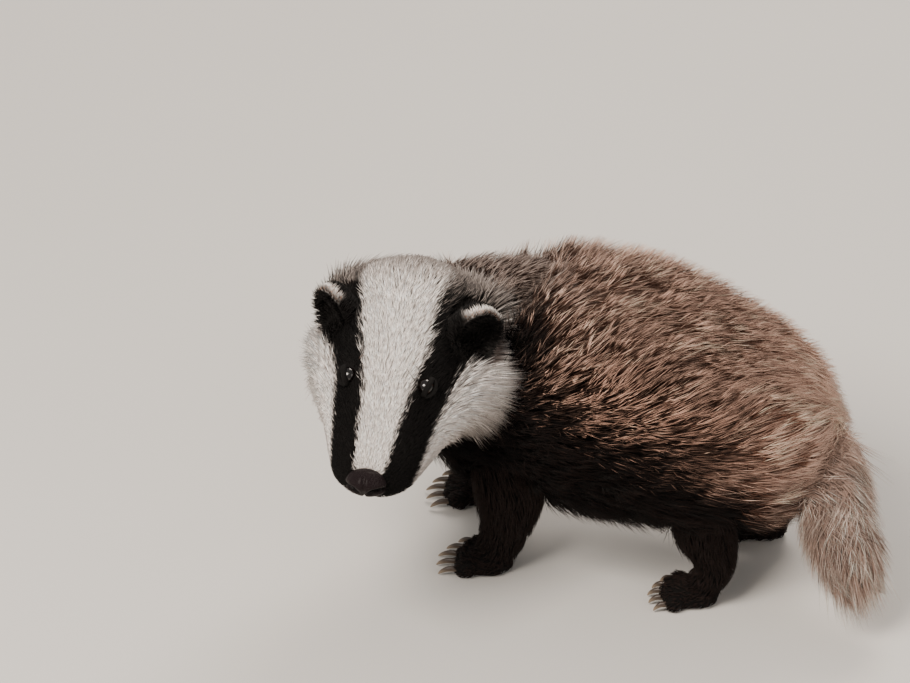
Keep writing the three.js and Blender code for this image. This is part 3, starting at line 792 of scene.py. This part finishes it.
def hair_mesh(name, ring_place, root_uv, spine, across, widths, band, tip, tip_start):
    """Joined hairs. spine is (hairs, rings, 3) in millimetres, its last ring the point."""
    hairs, rings, _ = spine.shape
    tangent = np.gradient(spine, axis=1)
    lift = unit(np.cross(across[:, None], tangent))
    side = unit(np.cross(tangent, lift))
    corners_of = []
    for k in range(3):
        turn = 2 * math.pi * k / 3 + math.pi / 6
        offset = side * math.cos(turn) + lift * (0.62 * math.sin(turn))
        corners_of.append(spine[:, :-1] + offset[:, :-1] * widths[:, :-1, None])
    body = np.stack(corners_of, axis=2)
    per_hair = (rings - 1) * 3 + 1
    points = np.concatenate([body.reshape(hairs, -1, 3), spine[:, -1:]], axis=1)
    along = np.concatenate([np.repeat(ring_place[:-1], 3), ring_place[-1:]])
    quads = []
    for ring in range(rings - 2):
        for k in range(3):
            j = (k + 1) % 3
            a = ring * 3
            quads.append((a + k, a + j, a + 3 + j, a + 3 + k))
    last = (rings - 2) * 3
    tips = [(last + k, last + (k + 1) % 3, per_hair - 1) for k in range(3)]
    base = (np.arange(hairs) * per_hair)[:, None]
    quad_ids = (base[:, :, None] + np.array(quads)[None]).reshape(hairs, -1)
    tip_ids = (base[:, :, None] + np.array(tips)[None]).reshape(hairs, -1)
    loops = np.concatenate([quad_ids, tip_ids], axis=1)
    sizes = np.array([4] * len(quads) + [3] * len(tips))
    starts = np.concatenate([[0], np.cumsum(sizes)[:-1]])
    loop_starts = (np.arange(hairs)[:, None] * sizes.sum() + starts[None]).ravel()
    mesh = bpy.data.meshes.new(name)
    mesh.vertices.add(hairs * per_hair)
    mesh.vertices.foreach_set("co", metres(points).astype(np.float32).ravel())
    mesh.loops.add(loops.size)
    mesh.loops.foreach_set("vertex_index", loops.astype(np.int32).ravel())
    mesh.polygons.add(hairs * len(sizes))
    mesh.polygons.foreach_set("loop_start", loop_starts.astype(np.int32))
    mesh.update(calc_edges=True)
    smooth_faces(mesh)
    paint(mesh, "band", np.repeat(band, per_hair, axis=0))
    paint(mesh, "tip", np.repeat(tip, per_hair, axis=0))
    way_along = mesh.attributes.new("along", "FLOAT", "POINT")
    way_along.data.foreach_set("value", (along[None] - tip_start[:, None]).astype(np.float32).ravel())
    # Each hair is a small patch at its root's place on the unwrap.
    local_u = np.concatenate([np.tile([0.0, 0.5, 1.0], rings - 1), [0.5]])
    local_v = np.concatenate([np.repeat(np.linspace(0, 1, rings)[:-1], 3), [1.0]])
    patch = (np.stack([local_u, local_v], 1) - 0.5) * HAIR_UV
    vertex_uv = (root_uv[:, None] + patch[None]).reshape(-1, 2)
    layer = mesh.uv_layers.new(name="OFBake")
    layer.data.foreach_set("uv", vertex_uv[loops.ravel()].astype(np.float32).ravel())
    piece = new_object(name, mesh)
    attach(piece, "root")
    return piece


def unwrap(values):
    return 0.01 + 0.98 * (values - values.min()) / max(np.ptp(values), 1e-6)


def pieces_of(name, slot, piece_ids, ring_place, root_t, root_turn, **hairs):
    """One mesh for each piece number, with the unwrap spread over the whole map."""
    for number in np.unique(piece_ids):
        own = piece_ids == number
        root_uv = np.stack([unwrap(root_turn[own]), unwrap(root_t[own])], 1)
        own_hairs = {key: values[own] for key, values in hairs.items()}
        made = hair_mesh(f"{name}_{number + 1}", ring_place, root_uv, **own_hairs)
        made.data.materials.append(hair_material)


def laid_spine(root, normal, lie, length, height, least_reach, drop, sunk, bend, loose=False):
    """Three rings of each hair: its root sunk in the skin, its bend, and its point over the skin that it
    lies on. A point that is loose, or has no skin near below it, stands free."""
    reach = np.sqrt(np.maximum(length**2 - height**2, least_reach))
    free_end = root + lie * reach[:, None]
    end_place, end_normal = surface_under(free_end)
    free = (np.linalg.norm(end_place - free_end, axis=1) > drop) | loose
    end_place[free] = free_end[free]
    end_normal[free] = normal[free]
    knee = root + lie * (bend[0] * reach)[:, None] + normal * (bend[1] * height)[:, None]
    return np.stack([root - normal * sunk, knee, end_place + end_normal * height[:, None]], axis=1)


# Badger hair: keratin, dark over its band and pale from there to its point. Its shine is soft, as it is
# spread over many hairs, and patches about 17 mm wide are a little lighter or darker.
hair_material = new_material("badger hair")
band_colour = add_node(hair_material, "ShaderNodeAttribute", attribute_name="band").outputs["Color"]
tip_colour = add_node(hair_material, "ShaderNodeAttribute", attribute_name="tip").outputs["Color"]
way_along = add_node(hair_material, "ShaderNodeAttribute", attribute_name="along").outputs["Fac"]
tip_share = add_node(
    hair_material,
    "ShaderNodeMapRange",
    interpolation_type="SMOOTHSTEP",
    Value=way_along,
    From_Min=-0.1,
    From_Max=0.1,
).outputs["Result"]
two_tone = add_node(
    hair_material, "ShaderNodeMixRGB", Fac=tip_share, Color1=band_colour, Color2=tip_colour
).outputs["Color"]
object_place = add_node(hair_material, "ShaderNodeTexCoord").outputs["Object"]
mottle = add_node(
    hair_material, "ShaderNodeTexNoise", Vector=object_place, Scale=60.0, Detail=3.0, Roughness=0.6
).outputs["Fac"]
shade = add_node(hair_material, "ShaderNodeMapRange", Value=mottle, To_Min=0.82, To_Max=1.14)
tone = add_node(
    hair_material,
    "ShaderNodeMixRGB",
    blend_type="MULTIPLY",
    Fac=1.0,
    Color1=two_tone,
    Color2=shade.outputs["Result"],
)
add_node(
    hair_material,
    "Principled BSDF",
    Base_Color=tone.outputs["Color"],
    Roughness=0.7,
    Specular_IOR_Level=0.18,
)

# Long coat of the trunk, neck and tail. Fine hairs gather in small tufts, and these in looser ones, so that
# dark gaps show between their pale tips. They stand well off the body, most along the back.
long_region = np.isin(face_region, [REGIONS.index(n) for n in ("trunk", "neck", "tail")])
clear_of_ear = face_on_ear < 0.5
TRUNK_HAIR = 29.0
TRUNK_STAND = 19.0
TAIL_HAIR = 35.0
TAIL_STAND = 19.0
LONG_HAIR_WIDTHS = np.array([0.36, 0.32, 0.05])
density = np.where(face_region == REGIONS.index("tail"), 1.6, 1.1)
root, normal, lie, region, root_t, root_turn = scatter(long_region & clear_of_ear, density)
count = len(root)
is_trunk = region == REGIONS.index("trunk")
is_neck = region == REGIONS.index("neck")
is_tail = region == REGIONS.index("tail")


def nearest_leader(places, share):
    """For each root the nearest of a few leading roots, that its hair leans towards."""
    leaders = rng.choice(len(places), max(1, int(len(places) * share)), replace=False)
    tree = tree_of(places[leaders])
    return leaders, np.array([tree.find(p)[1] for p in places])


tuft_leaders, tuft = nearest_leader(root, 0.11)
lock_leaders, lock = nearest_leader(root, 0.009)
lock_twist = rng.normal(0, 0.1, len(lock_leaders))[lock]
tuft_twist = rng.normal(0, 0.09, len(tuft_leaders))[tuft]
tuft_length = rng.normal(1, 0.1, len(tuft_leaders))[tuft]
tuft_lift = rng.normal(0, 0.17, len(tuft_leaders))[tuft]
lock_lift = rng.normal(0, 0.14, len(lock_leaders))[lock]
lock_tone = np.clip(rng.normal(1, 0.24, len(lock_leaders)), 0.4, 1.4)[lock]
tuft_tone = np.clip(rng.normal(1, 0.2, len(tuft_leaders)), 0.5, 1.5)[tuft]

belly = smoothstep(66, 46, root[:, 2]) * is_trunk
high = smoothstep(-0.1, 0.75, normal[:, 2])
# Some tufts are dark to the point and stand lower, more of them in some locks than in others.
# Their dark points are painted shade, standing for the black where the coat opens.
dark_share = np.clip(rng.normal(0.45, 0.34, len(lock_leaders)), 0.05, 0.9)[lock]
dark_share *= 1 - 0.75 * is_tail - 0.5 * is_neck - 0.4 * high * is_trunk
dark_tuft = rng.random(len(tuft_leaders))[tuft] < dark_share
droop = np.where(is_trunk, -0.42 - 0.6 * high + 0.6 * belly, 0.05)
flank = np.sqrt(np.maximum(0, 1 - normal[:, 2] ** 2))
lie = flat_on(lie - UP * (droop * flank)[:, None], normal)
sideways = np.cross(normal, lie)
twist = (lock_twist + tuft_twist + rng.normal(0, 0.07, count)) * (1 - 0.4 * is_tail)
lie = unit(lie + sideways * twist[:, None])

neck_length = np.interp(root_t, [0.15, 0.5, 0.85], [15.0, 22.0, 26.0])
neck_height = np.interp(root_t, [0.15, 0.5, 0.85], [9.0, 14.0, 18.0])
length = np.where(is_trunk, TRUNK_HAIR - 5.0 * smoothstep(0.3, 0.0, root_t), neck_length)
length = np.where(is_tail, TAIL_HAIR - 12.0 * smoothstep(0.5, 1.0, root_t), length)
length *= (1 - 0.25 * belly) * tuft_length * rng.normal(1, 0.12, count)
withers = high * smoothstep(0.75, 0.35, root_t)
height = np.where(is_trunk, TRUNK_STAND + 2.5 * high + 4.0 * withers, neck_height)
height = np.where(is_tail, TAIL_STAND - 6.0 * smoothstep(0.5, 1.0, root_t), height)
height *= np.where(dark_tuft, 0.78, 1.0)
height *= (1 - 0.3 * belly) * np.clip(1 + tuft_lift + lock_lift + rng.normal(0, 0.1, count), 0.5, 1.16)

spine = laid_spine(
    root, normal, lie, length, height, least_reach=60.0, drop=16.0, sunk=0.6, bend=(0.36, 0.62)
)
to_tuft = root[tuft_leaders][tuft] - root
to_lock = root[lock_leaders][lock] - root
spine[:, 1] += 0.4 * to_tuft + 0.05 * to_lock
spine[:, 2] += 0.7 * to_tuft + 0.16 * to_lock + rng.normal(0, 0.45, (count, 3))
spine[:, 2, 2] = np.maximum(spine[:, 2, 2], root[:, 2] - np.where(is_tail, 40.0, 14.0))
spine[:, :, 2] = np.maximum(spine[:, :, 2], 2.0)

band, tip = markings(root, region, root_t, root_turn, jitter=1.0)
# A few single hairs are dark guard hairs, and the dark tufts' points are painted shade.
guard_hair_and_shade_tuft = (rng.random(count) < 0.08) | dark_tuft
tip = np.where(guard_hair_and_shade_tuft[:, None], mix(tip, PALETTE["band"], 0.85 - 0.45 * smoothstep(0.6, 0.9, root_t)), tip)
value = np.clip(lock_tone * tuft_tone * rng.normal(1, 0.1, count), 0.3, 1.45)[:, None]
tip = np.clip(tip * value, 0, 0.95)
band = np.clip(band * np.sqrt(value), 0, 0.95)
width = rng.normal(1, 0.16, count).clip(0.6, 1.5)
widths = width[:, None] * LONG_HAIR_WIDTHS
rump_hair = smoothstep(0.7, 0.95, root_t) * is_trunk
tip_start = np.clip(rng.normal(0.76, 0.06, count) - 0.14 * rump_hair, 0.3, 0.85)

round_top = np.floor((root_turn + math.pi) / (2 * math.pi) * 4).clip(0, 3).astype(int)
trunk_piece = np.floor(root_t * 2).clip(0, 1).astype(int) * 4 + round_top
neck_piece = 8 + (np.cos(root_turn) > 0).astype(int)
piece_ids = np.where(is_trunk, trunk_piece, np.where(is_neck, neck_piece, 10))
pieces_of(
    "long_coat",
    "coat",
    piece_ids,
    np.array([0.0, 0.5, 1.0]),
    root_t,
    root_turn,
    spine=spine,
    across=np.cross(normal, lie),
    widths=widths,
    band=band,
    tip=tip,
    tip_start=tip_start,
)

# Short coat of the head, ears, legs and paws. On the face it lies flat and back from the nose. Over the
# cheeks it lengthens into a ruff that stands out from the jaw, and on the ears it is close and velvety.
soles = (face_middle[:, 2] < 1.2).astype(bool)
on_nose = np.linalg.norm(face_middle - head_point(113, 0, -16), axis=1) < 10.5
near_eye = np.zeros(len(face_middle), bool)
for side in (1, -1):
    near_eye |= np.linalg.norm(face_middle - eye_centre(side), axis=1) < 5.9
is_face = face_region == REGIONS.index("skull")
density = np.where(is_face, np.interp(face_t, [0, 0.35, 0.6, 1], [2.4, 1.7, 1.3, 1.2]), 0.55)
density = np.where(face_on_ear > 0.5, 2.0, density)
mask = (~long_region | ~clear_of_ear) & ~soles & ~on_nose & ~near_eye
root, normal, lie, region, root_t, root_turn = scatter(mask, density)
count = len(root)
is_head = region == REGIONS.index("skull")
angle = np.abs((root_turn - math.pi / 2 + math.pi) % (2 * math.pi) - math.pi)
ruff = smoothstep(0.32, 0.62, root_t) * smoothstep(1.15, 1.6, angle) * smoothstep(3.05, 2.5, angle) * is_head
crown = smoothstep(0.68, 0.82, root_t) * smoothstep(1.7, 1.3, angle)
length = np.interp(root_t, [0, 0.1, 0.3, 0.6, 0.8, 1.0], [2.4, 3.4, 5.0, 8.0, 9.0, 10.0])
length += (18.0 + 11.0 * smoothstep(1.7, 2.4, angle)) * ruff + 1.0 * crown
for side in (1, -1):
    from_eye = np.linalg.norm(root - eye_centre(side), axis=1)
    length *= 0.3 + 0.7 * smoothstep(6.0, 13.0, from_eye)
limb_share = 1 - smoothstep(0.1, 0.8, root_t)
is_paw = np.array([REGIONS[r].startswith("paw_") for r in region])
length = np.where(is_head, length, np.where(is_paw, 4.0, 7.0 + 9.0 * limb_share))
ear_near, rim_near = ear_share(root)
length = np.where(ear_near > 0.5, 4.6 - 1.6 * rim_near, length)
length *= rng.normal(1, 0.13, count)
height = length * np.where(is_head, 0.26 + 0.24 * crown + 0.2 * smoothstep(0.2, 0.05, root_t), 0.34)
height = np.where(ear_near > 0.5, 0.45 * length, height)
tuft_leaders, tuft = nearest_leader(root, 0.08)
lean = rng.normal(0, 0.1, len(tuft_leaders))[tuft]
left_share = np.clip((root - CROWN) @ HEAD_LEFT / 25, -1, 1)
fan = 0.5 * left_share * smoothstep(0.22, 0.5, root_t) * smoothstep(1.3, 0.9, angle) * is_head
cheek = smoothstep(1.2, 1.9, angle) * smoothstep(0.2, 0.4, root_t) * is_head
lie = lie + HEAD_LEFT * fan[:, None] - UP * (0.06 + 0.75 * cheek)[:, None]
lie = flat_on(lie, normal)
lie = unit(lie + np.cross(normal, lie) * (lean + rng.normal(0, 0.1, count))[:, None])
for side in (1, -1):
    away, high, depth, distance = ear_place(root, side)
    _, _, rise, open_way = ear_axes(side)
    close = distance < EAR_RADIUS * 1.2
    inside = smoothstep(-1.0, 2.5, depth) * smoothstep(0.98, 0.8, np.hypot(away, high))
    outward = unit(
        HEAD_LEFT * (side * 0.8 * away)[:, None]
        + rise * (0.5 * high + 0.5)[:, None]
        + open_way * (0.5 * inside - 0.6 * (1 - inside))[:, None]
        - NOSEWARD * 0.25
    )
    lie[close] = flat_on(outward, normal)[close]
    height = np.where(close & (inside > 0.5), 0.75 * length, height)
loose = (ear_near > 0.3) | (ruff > 0.12)
spine = laid_spine(
    root, normal, lie, length, height, least_reach=1.0, drop=7.0, sunk=0.4, bend=(0.45, 0.7), loose=loose
)
outward = HEAD_LEFT[None] * np.where(left_share > 0, 0.75, -0.2)[:, None]
low_cheek = smoothstep(1.6, 2.3, angle)
flare = (unit(lie + outward - UP * (0.25 + 0.8 * low_cheek)[:, None]) - lie) * (ruff * length)[:, None]
spine[:, 1] += 0.4 * flare
spine[:, 2] += flare
to_tuft = root[tuft_leaders][tuft] - root
pull = np.where(is_head, 0.25 + 0.35 * ruff, 0.3)[:, None]
spine[:, 1] += 0.4 * pull * to_tuft
spine[:, 2] += pull * to_tuft
spine[:, :, 2] = np.maximum(spine[:, :, 2], 0.3)
band, tip = markings(root, region, root_t, root_turn, jitter=1.0)
tip = mix(tip, PALETTE["black"], ear_near * 0.97)
band = mix(band, PALETTE["black"], ear_near * 0.97)
tip = mix(tip, PALETTE["white"], rim_near)
band = mix(band, PALETTE["cream"] * 0.8, rim_near)
value = np.clip(rng.normal(1, 0.1, count), 0.6, 1.4)[:, None]
width = np.where(is_head, np.interp(root_t, [0, 0.3, 1], [0.2, 0.29, 0.42]), 0.45)
width = np.where(ear_near > 0.5, 0.33, width) * rng.normal(1, 0.12, count)
widths = width[:, None] * np.array([1.0, 0.85, 0.1])[None]
limb_names = [n.replace("paw_", "") for n in REGIONS]
leg_piece = 4 + np.array([limb_names.index(limb_names[r]) for r in region])
side_piece = (np.cos(root_turn) > 0).astype(int) + 2 * (root_t > 0.45)
pieces_of(
    "short_coat",
    "face",
    np.where(is_head, side_piece, leg_piece),
    np.array([0.0, 0.45, 1.0]),
    root_t,
    root_turn,
    spine=spine,
    across=np.cross(normal, lie),
    widths=widths,
    band=np.clip(band * value, 0, 0.95),
    tip=np.clip(tip * value, 0, 0.95),
    tip_start=np.full(count, 0.35),
)


# Whiskers: a few stiff dark bristles beside the nose and over each eye. Each is one long hair that tapers
# from a thick root in the skin.
bristle_root, bristle_end = [], []
for side in (1, -1):
    for row in range(4):
        for k in range(3):
            t = 0.09 + 0.035 * k + 0.008 * row
            turn = math.pi / 2 + side * -(1.05 + 0.17 * row)
            foot_place = skull.at(t, turn, -2.4)[0]
            way = HEAD_LEFT * side * 0.9 - NOSEWARD * (0.35 + 0.1 * k) - HEAD_UP * (0.1 + 0.12 * row)
            bristle_root.append(foot_place)
            bristle_end.append(foot_place + unit(way) * (22 + 4 * k - 2 * row))
    for k in range(2):
        foot_place = skull.at(0.46 + 0.03 * k, math.pi / 2 - side * (0.62 + 0.1 * k), -2.4)[0]
        bristle_root.append(foot_place)
        bristle_end.append(foot_place + unit(HEAD_UP + HEAD_LEFT * side * 0.5 - NOSEWARD * 0.2) * 18)
bristle_root, bristle_end = np.array(bristle_root), np.array(bristle_end)
bristle_middle = (bristle_root + bristle_end) / 2 + HEAD_UP * 1.6
count = len(bristle_root)
bristle_low = (bristle_root + bristle_middle) / 2 + HEAD_UP * 0.4
bristle_spine = np.stack([bristle_root, bristle_low, bristle_middle, bristle_end], 1)
pieces_of(
    "whiskers",
    "face",
    np.zeros(count, int),
    np.array([0.0, 0.3, 0.6, 1.0]),
    np.linspace(0, 1, count),
    np.linspace(0, 1, count),
    spine=bristle_spine,
    across=np.tile(HEAD_UP, (count, 1)),
    widths=np.tile([0.26, 0.24, 0.18, 0.05], (count, 1)),
    band=np.tile(PALETTE["black"], (count, 1)),
    tip=np.tile(PALETTE["smoke"] * 0.6, (count, 1)),
    tip_start=np.full(count, 0.6),
)


# Nose: a pad of moist, finely pebbled leather with two comma-shaped nostrils and a groove between them. It
# is one rounded form at the muzzle's end, pressed in along the nostrils' curves.
nose_form = Form(
    [
        (head_point(103, 0, -14), 9, 7),
        (head_point(112, 0, -14), 12, 9.5),
        (head_point(119, 0, -16), 10.5, 8.5),
    ],
    cap=0.35,
    up=HEAD_UP,
)
bm = bmesh.new()
form_mesh(bm, nose_form, 96, 72)
nose_mesh = mesh_of(bm, "nose_leather")
nose_points = points_of(nose_mesh)
nose_axis = head_point(108, 0, -15)
inward = unit(nose_axis - nose_points)
hollow = np.zeros(len(nose_points))
for side in (1, -1):
    path = np.array(
        [
            head_point(121, side * 4.8, -12.5),
            head_point(119, side * 6.4, -10.6),
            head_point(116, side * 9.4, -11.2),
            head_point(112, side * 12.2, -15.5),
        ]
    )
    along_path = np.linspace(0, 3, 24)
    fine = np.stack([np.interp(along_path, np.arange(4), path[:, i]) for i in range(3)], 1)
    girth = np.linspace(2.6, 1.0, 24)
    gap = (np.linalg.norm(nose_points[:, None] - fine[None], axis=2) / girth[None]).min(1)
    hollow = np.maximum(hollow, np.exp(-(gap**2)))
left_of_middle = (nose_points - CROWN) @ HEAD_LEFT
ahead_of_pad = (nose_points - CROWN) @ NOSEWARD
groove = np.exp(-((left_of_middle / 0.8) ** 2)) * smoothstep(108, 115, ahead_of_pad)
nose_points += inward * (4.8 * hollow + 1.3 * groove)[:, None]
move_points(nose_mesh, nose_points)
# Dark purple-brown leather, with the nostrils' hollows near black: painted shade inside the nostrils.
leather_and_nostril_shade = mix(linear("#180f11"), linear("#010101"), np.clip(hollow * 1.6, 0, 1))
paint(nose_mesh, "leather", leather_and_nostril_shade)
# Moist leather: pebbles under a millimetre wide, each with a soft shine of its own.
nose_material = new_material("moist nose leather")
leather = add_node(nose_material, "ShaderNodeAttribute", attribute_name="leather").outputs["Color"]
object_place = add_node(nose_material, "ShaderNodeTexCoord").outputs["Object"]
pebbles = add_node(nose_material, "ShaderNodeTexVoronoi", Vector=object_place, Scale=1150.0)
bump = add_node(
    nose_material, "ShaderNodeBump", Height=pebbles.outputs["Distance"], Strength=0.8, Distance=0.0009
)
add_node(
    nose_material,
    "Principled BSDF",
    Base_Color=leather,
    Roughness=0.5,
    Specular_IOR_Level=0.1,
    Coat_Weight=0.05,
    Coat_Roughness=0.2,
    Normal=bump.outputs["Normal"],
)
nose_mesh.materials.append(nose_material)
nose = new_object("nose_leather", nose_mesh)
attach(nose, "root")
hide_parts("nose_pad")


# Eyes: small, dark and wet, with a clear bulge over a brown iris. Each is a sphere set in the skull, half
# covered by its lids.
# A wet eye: almost black, with a small sharp highlight on its film of tears.
eye_material = new_material("wet eye")
iris = add_node(eye_material, "ShaderNodeAttribute", attribute_name="iris").outputs["Color"]
add_node(
    eye_material, "Principled BSDF", Base_Color=iris, Roughness=0.14, Coat_Weight=0.25, Coat_Roughness=0.05
)
EYE_RADIUS = 4.9
for side, side_name in ((1, "left"), (-1, "right")):
    centre = eye_centre(side)
    gaze = unit(HEAD_LEFT * side * 0.8 + HEAD_UP * 0.5 + NOSEWARD * 0.35)
    bm = bmesh.new()
    bmesh.ops.create_uvsphere(bm, u_segments=48, v_segments=32, radius=1.0)
    for v in bm.verts:
        way = np.array(v.co)
        facing = float(way @ gaze)
        bulge = 0.35 * smoothstep(0.72, 0.95, np.array(facing))
        v.co = metres(centre + way * (EYE_RADIUS + float(bulge)))
    eye_mesh = mesh_of(bm, "eyeball_" + side_name)
    facing = unit(points_of(eye_mesh) - centre) @ gaze
    colour = mix(linear("#0b0706"), linear("#2c180d"), smoothstep(0.62, 0.8, facing))
    colour = mix(colour, linear("#020202"), smoothstep(0.9, 0.93, facing))
    paint(eye_mesh, "iris", colour)
    eye_mesh.materials.append(eye_material)
    eyeball = new_object("eyeball_" + side_name, eye_mesh)
    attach(eyeball, "root")
    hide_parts("eye_" + side_name)


# Claws: long on the forefeet, short behind. Each is a curved horn that grows from its toe, darker at its
# root than at its point.
bm = bmesh.new()
for form in claw_forms:
    form_mesh(bm, form, 14, 16)
claw_mesh = mesh_of(bm, "claws")
claw_points = points_of(claw_mesh)
claw_shade = mix(linear("#8a7a68"), linear("#3b3028"), smoothstep(2.0, 6.5, claw_points[:, 2]))
paint(claw_mesh, "horn", claw_shade)
# Claw horn: satin, with faint marks of growth about 1.4 mm apart.
claw_material = new_material("claw horn")
horn = add_node(claw_material, "ShaderNodeAttribute", attribute_name="horn").outputs["Color"]
object_place = add_node(claw_material, "ShaderNodeTexCoord").outputs["Object"]
growth = add_node(claw_material, "ShaderNodeTexNoise", Vector=object_place, Scale=700.0, Detail=3.0)
bump = add_node(
    claw_material, "ShaderNodeBump", Height=growth.outputs["Fac"], Strength=0.25, Distance=0.0003
)
add_node(
    claw_material, "Principled BSDF", Base_Color=horn, Roughness=0.42, Normal=bump.outputs["Normal"]
)
claw_mesh.materials.append(claw_material)
claws = new_object("claws", claw_mesh)
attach(claws, "root")
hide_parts(*[f"claw_{leg}_{k}" for leg in LEGS for k in range(1, 6)])


# Camera: a long lens that looks down on the animal's left side from thirty degrees above the ground.
FOCAL_PIXELS = 5100
PHOTO_PIXELS = 910
SENSOR_WIDTH = 36
CAMERA_DISTANCE = 3.0


def aim(thing, place, target):
    thing.location = place
    thing.rotation_mode = "QUATERNION"
    thing.rotation_quaternion = (target - thing.location).to_track_quat("-Z", "Y")


view_middle = Vector(metres(np.array([0.0, 0.0, 152.0])))
elevation = math.radians(30)
camera_data = bpy.data.cameras.new("camera")
camera_data.lens = FOCAL_PIXELS / PHOTO_PIXELS * SENSOR_WIDTH
camera_data.sensor_width = SENSOR_WIDTH
camera_data.clip_end = 50
camera = new_object("camera", camera_data)
camera_way = Vector((0, -math.cos(elevation), math.sin(elevation)))
aim(camera, view_middle + camera_way * CAMERA_DISTANCE, view_middle)
bpy.context.scene.camera = camera

# Floor and light: a plain pale floor in a soft studio, with a large warm lamp before the animal, a weak
# one at its tail and one behind it.
bm = bmesh.new()
bmesh.ops.create_grid(bm, x_segments=4, y_segments=4, size=6.0)
floor_mesh = mesh_of(bm, "floor")
# Painted floor: matt, with a faint broad mottle.
floor_material = new_material("pale studio floor")
object_place = add_node(floor_material, "ShaderNodeTexCoord").outputs["Object"]
mottle = add_node(floor_material, "ShaderNodeTexNoise", Vector=object_place, Scale=3.0, Detail=2.0)
ramp = add_node(floor_material, "ShaderNodeValToRGB", Fac=mottle.outputs["Fac"])
ramp.color_ramp.elements[0].color = (*linear("#d3d0cb"), 1)
ramp.color_ramp.elements[1].color = (*linear("#dad7d2"), 1)
add_node(floor_material, "Principled BSDF", Base_Color=ramp.outputs["Color"], Roughness=0.9)
floor_mesh.materials.append(floor_material)
floor = new_object("floor", floor_mesh)

world = bpy.data.worlds.new("studio")
bpy.context.scene.world = world
world.use_nodes = True
world.node_tree.nodes["Background"].inputs["Color"].default_value = (*linear("#f0edea"), 1)
world.node_tree.nodes["Background"].inputs["Strength"].default_value = 0.58


def area_light(name, place, size, power, colour):
    data = bpy.data.lights.new(name, "AREA")
    data.size = size
    data.energy = power
    data.color = linear(colour)
    aim(new_object(name, data), place, Vector((0, 0, 0.1)))


area_light("key", (-0.9, -1.1, 1.7), 0.9, 58, "#fff4e8")
area_light("fill", (1.6, -1.2, 0.9), 1.4, 11, "#fff3ea")
area_light("rim", (0.5, 1.4, 1.6), 0.9, 26, "#fff2e6")
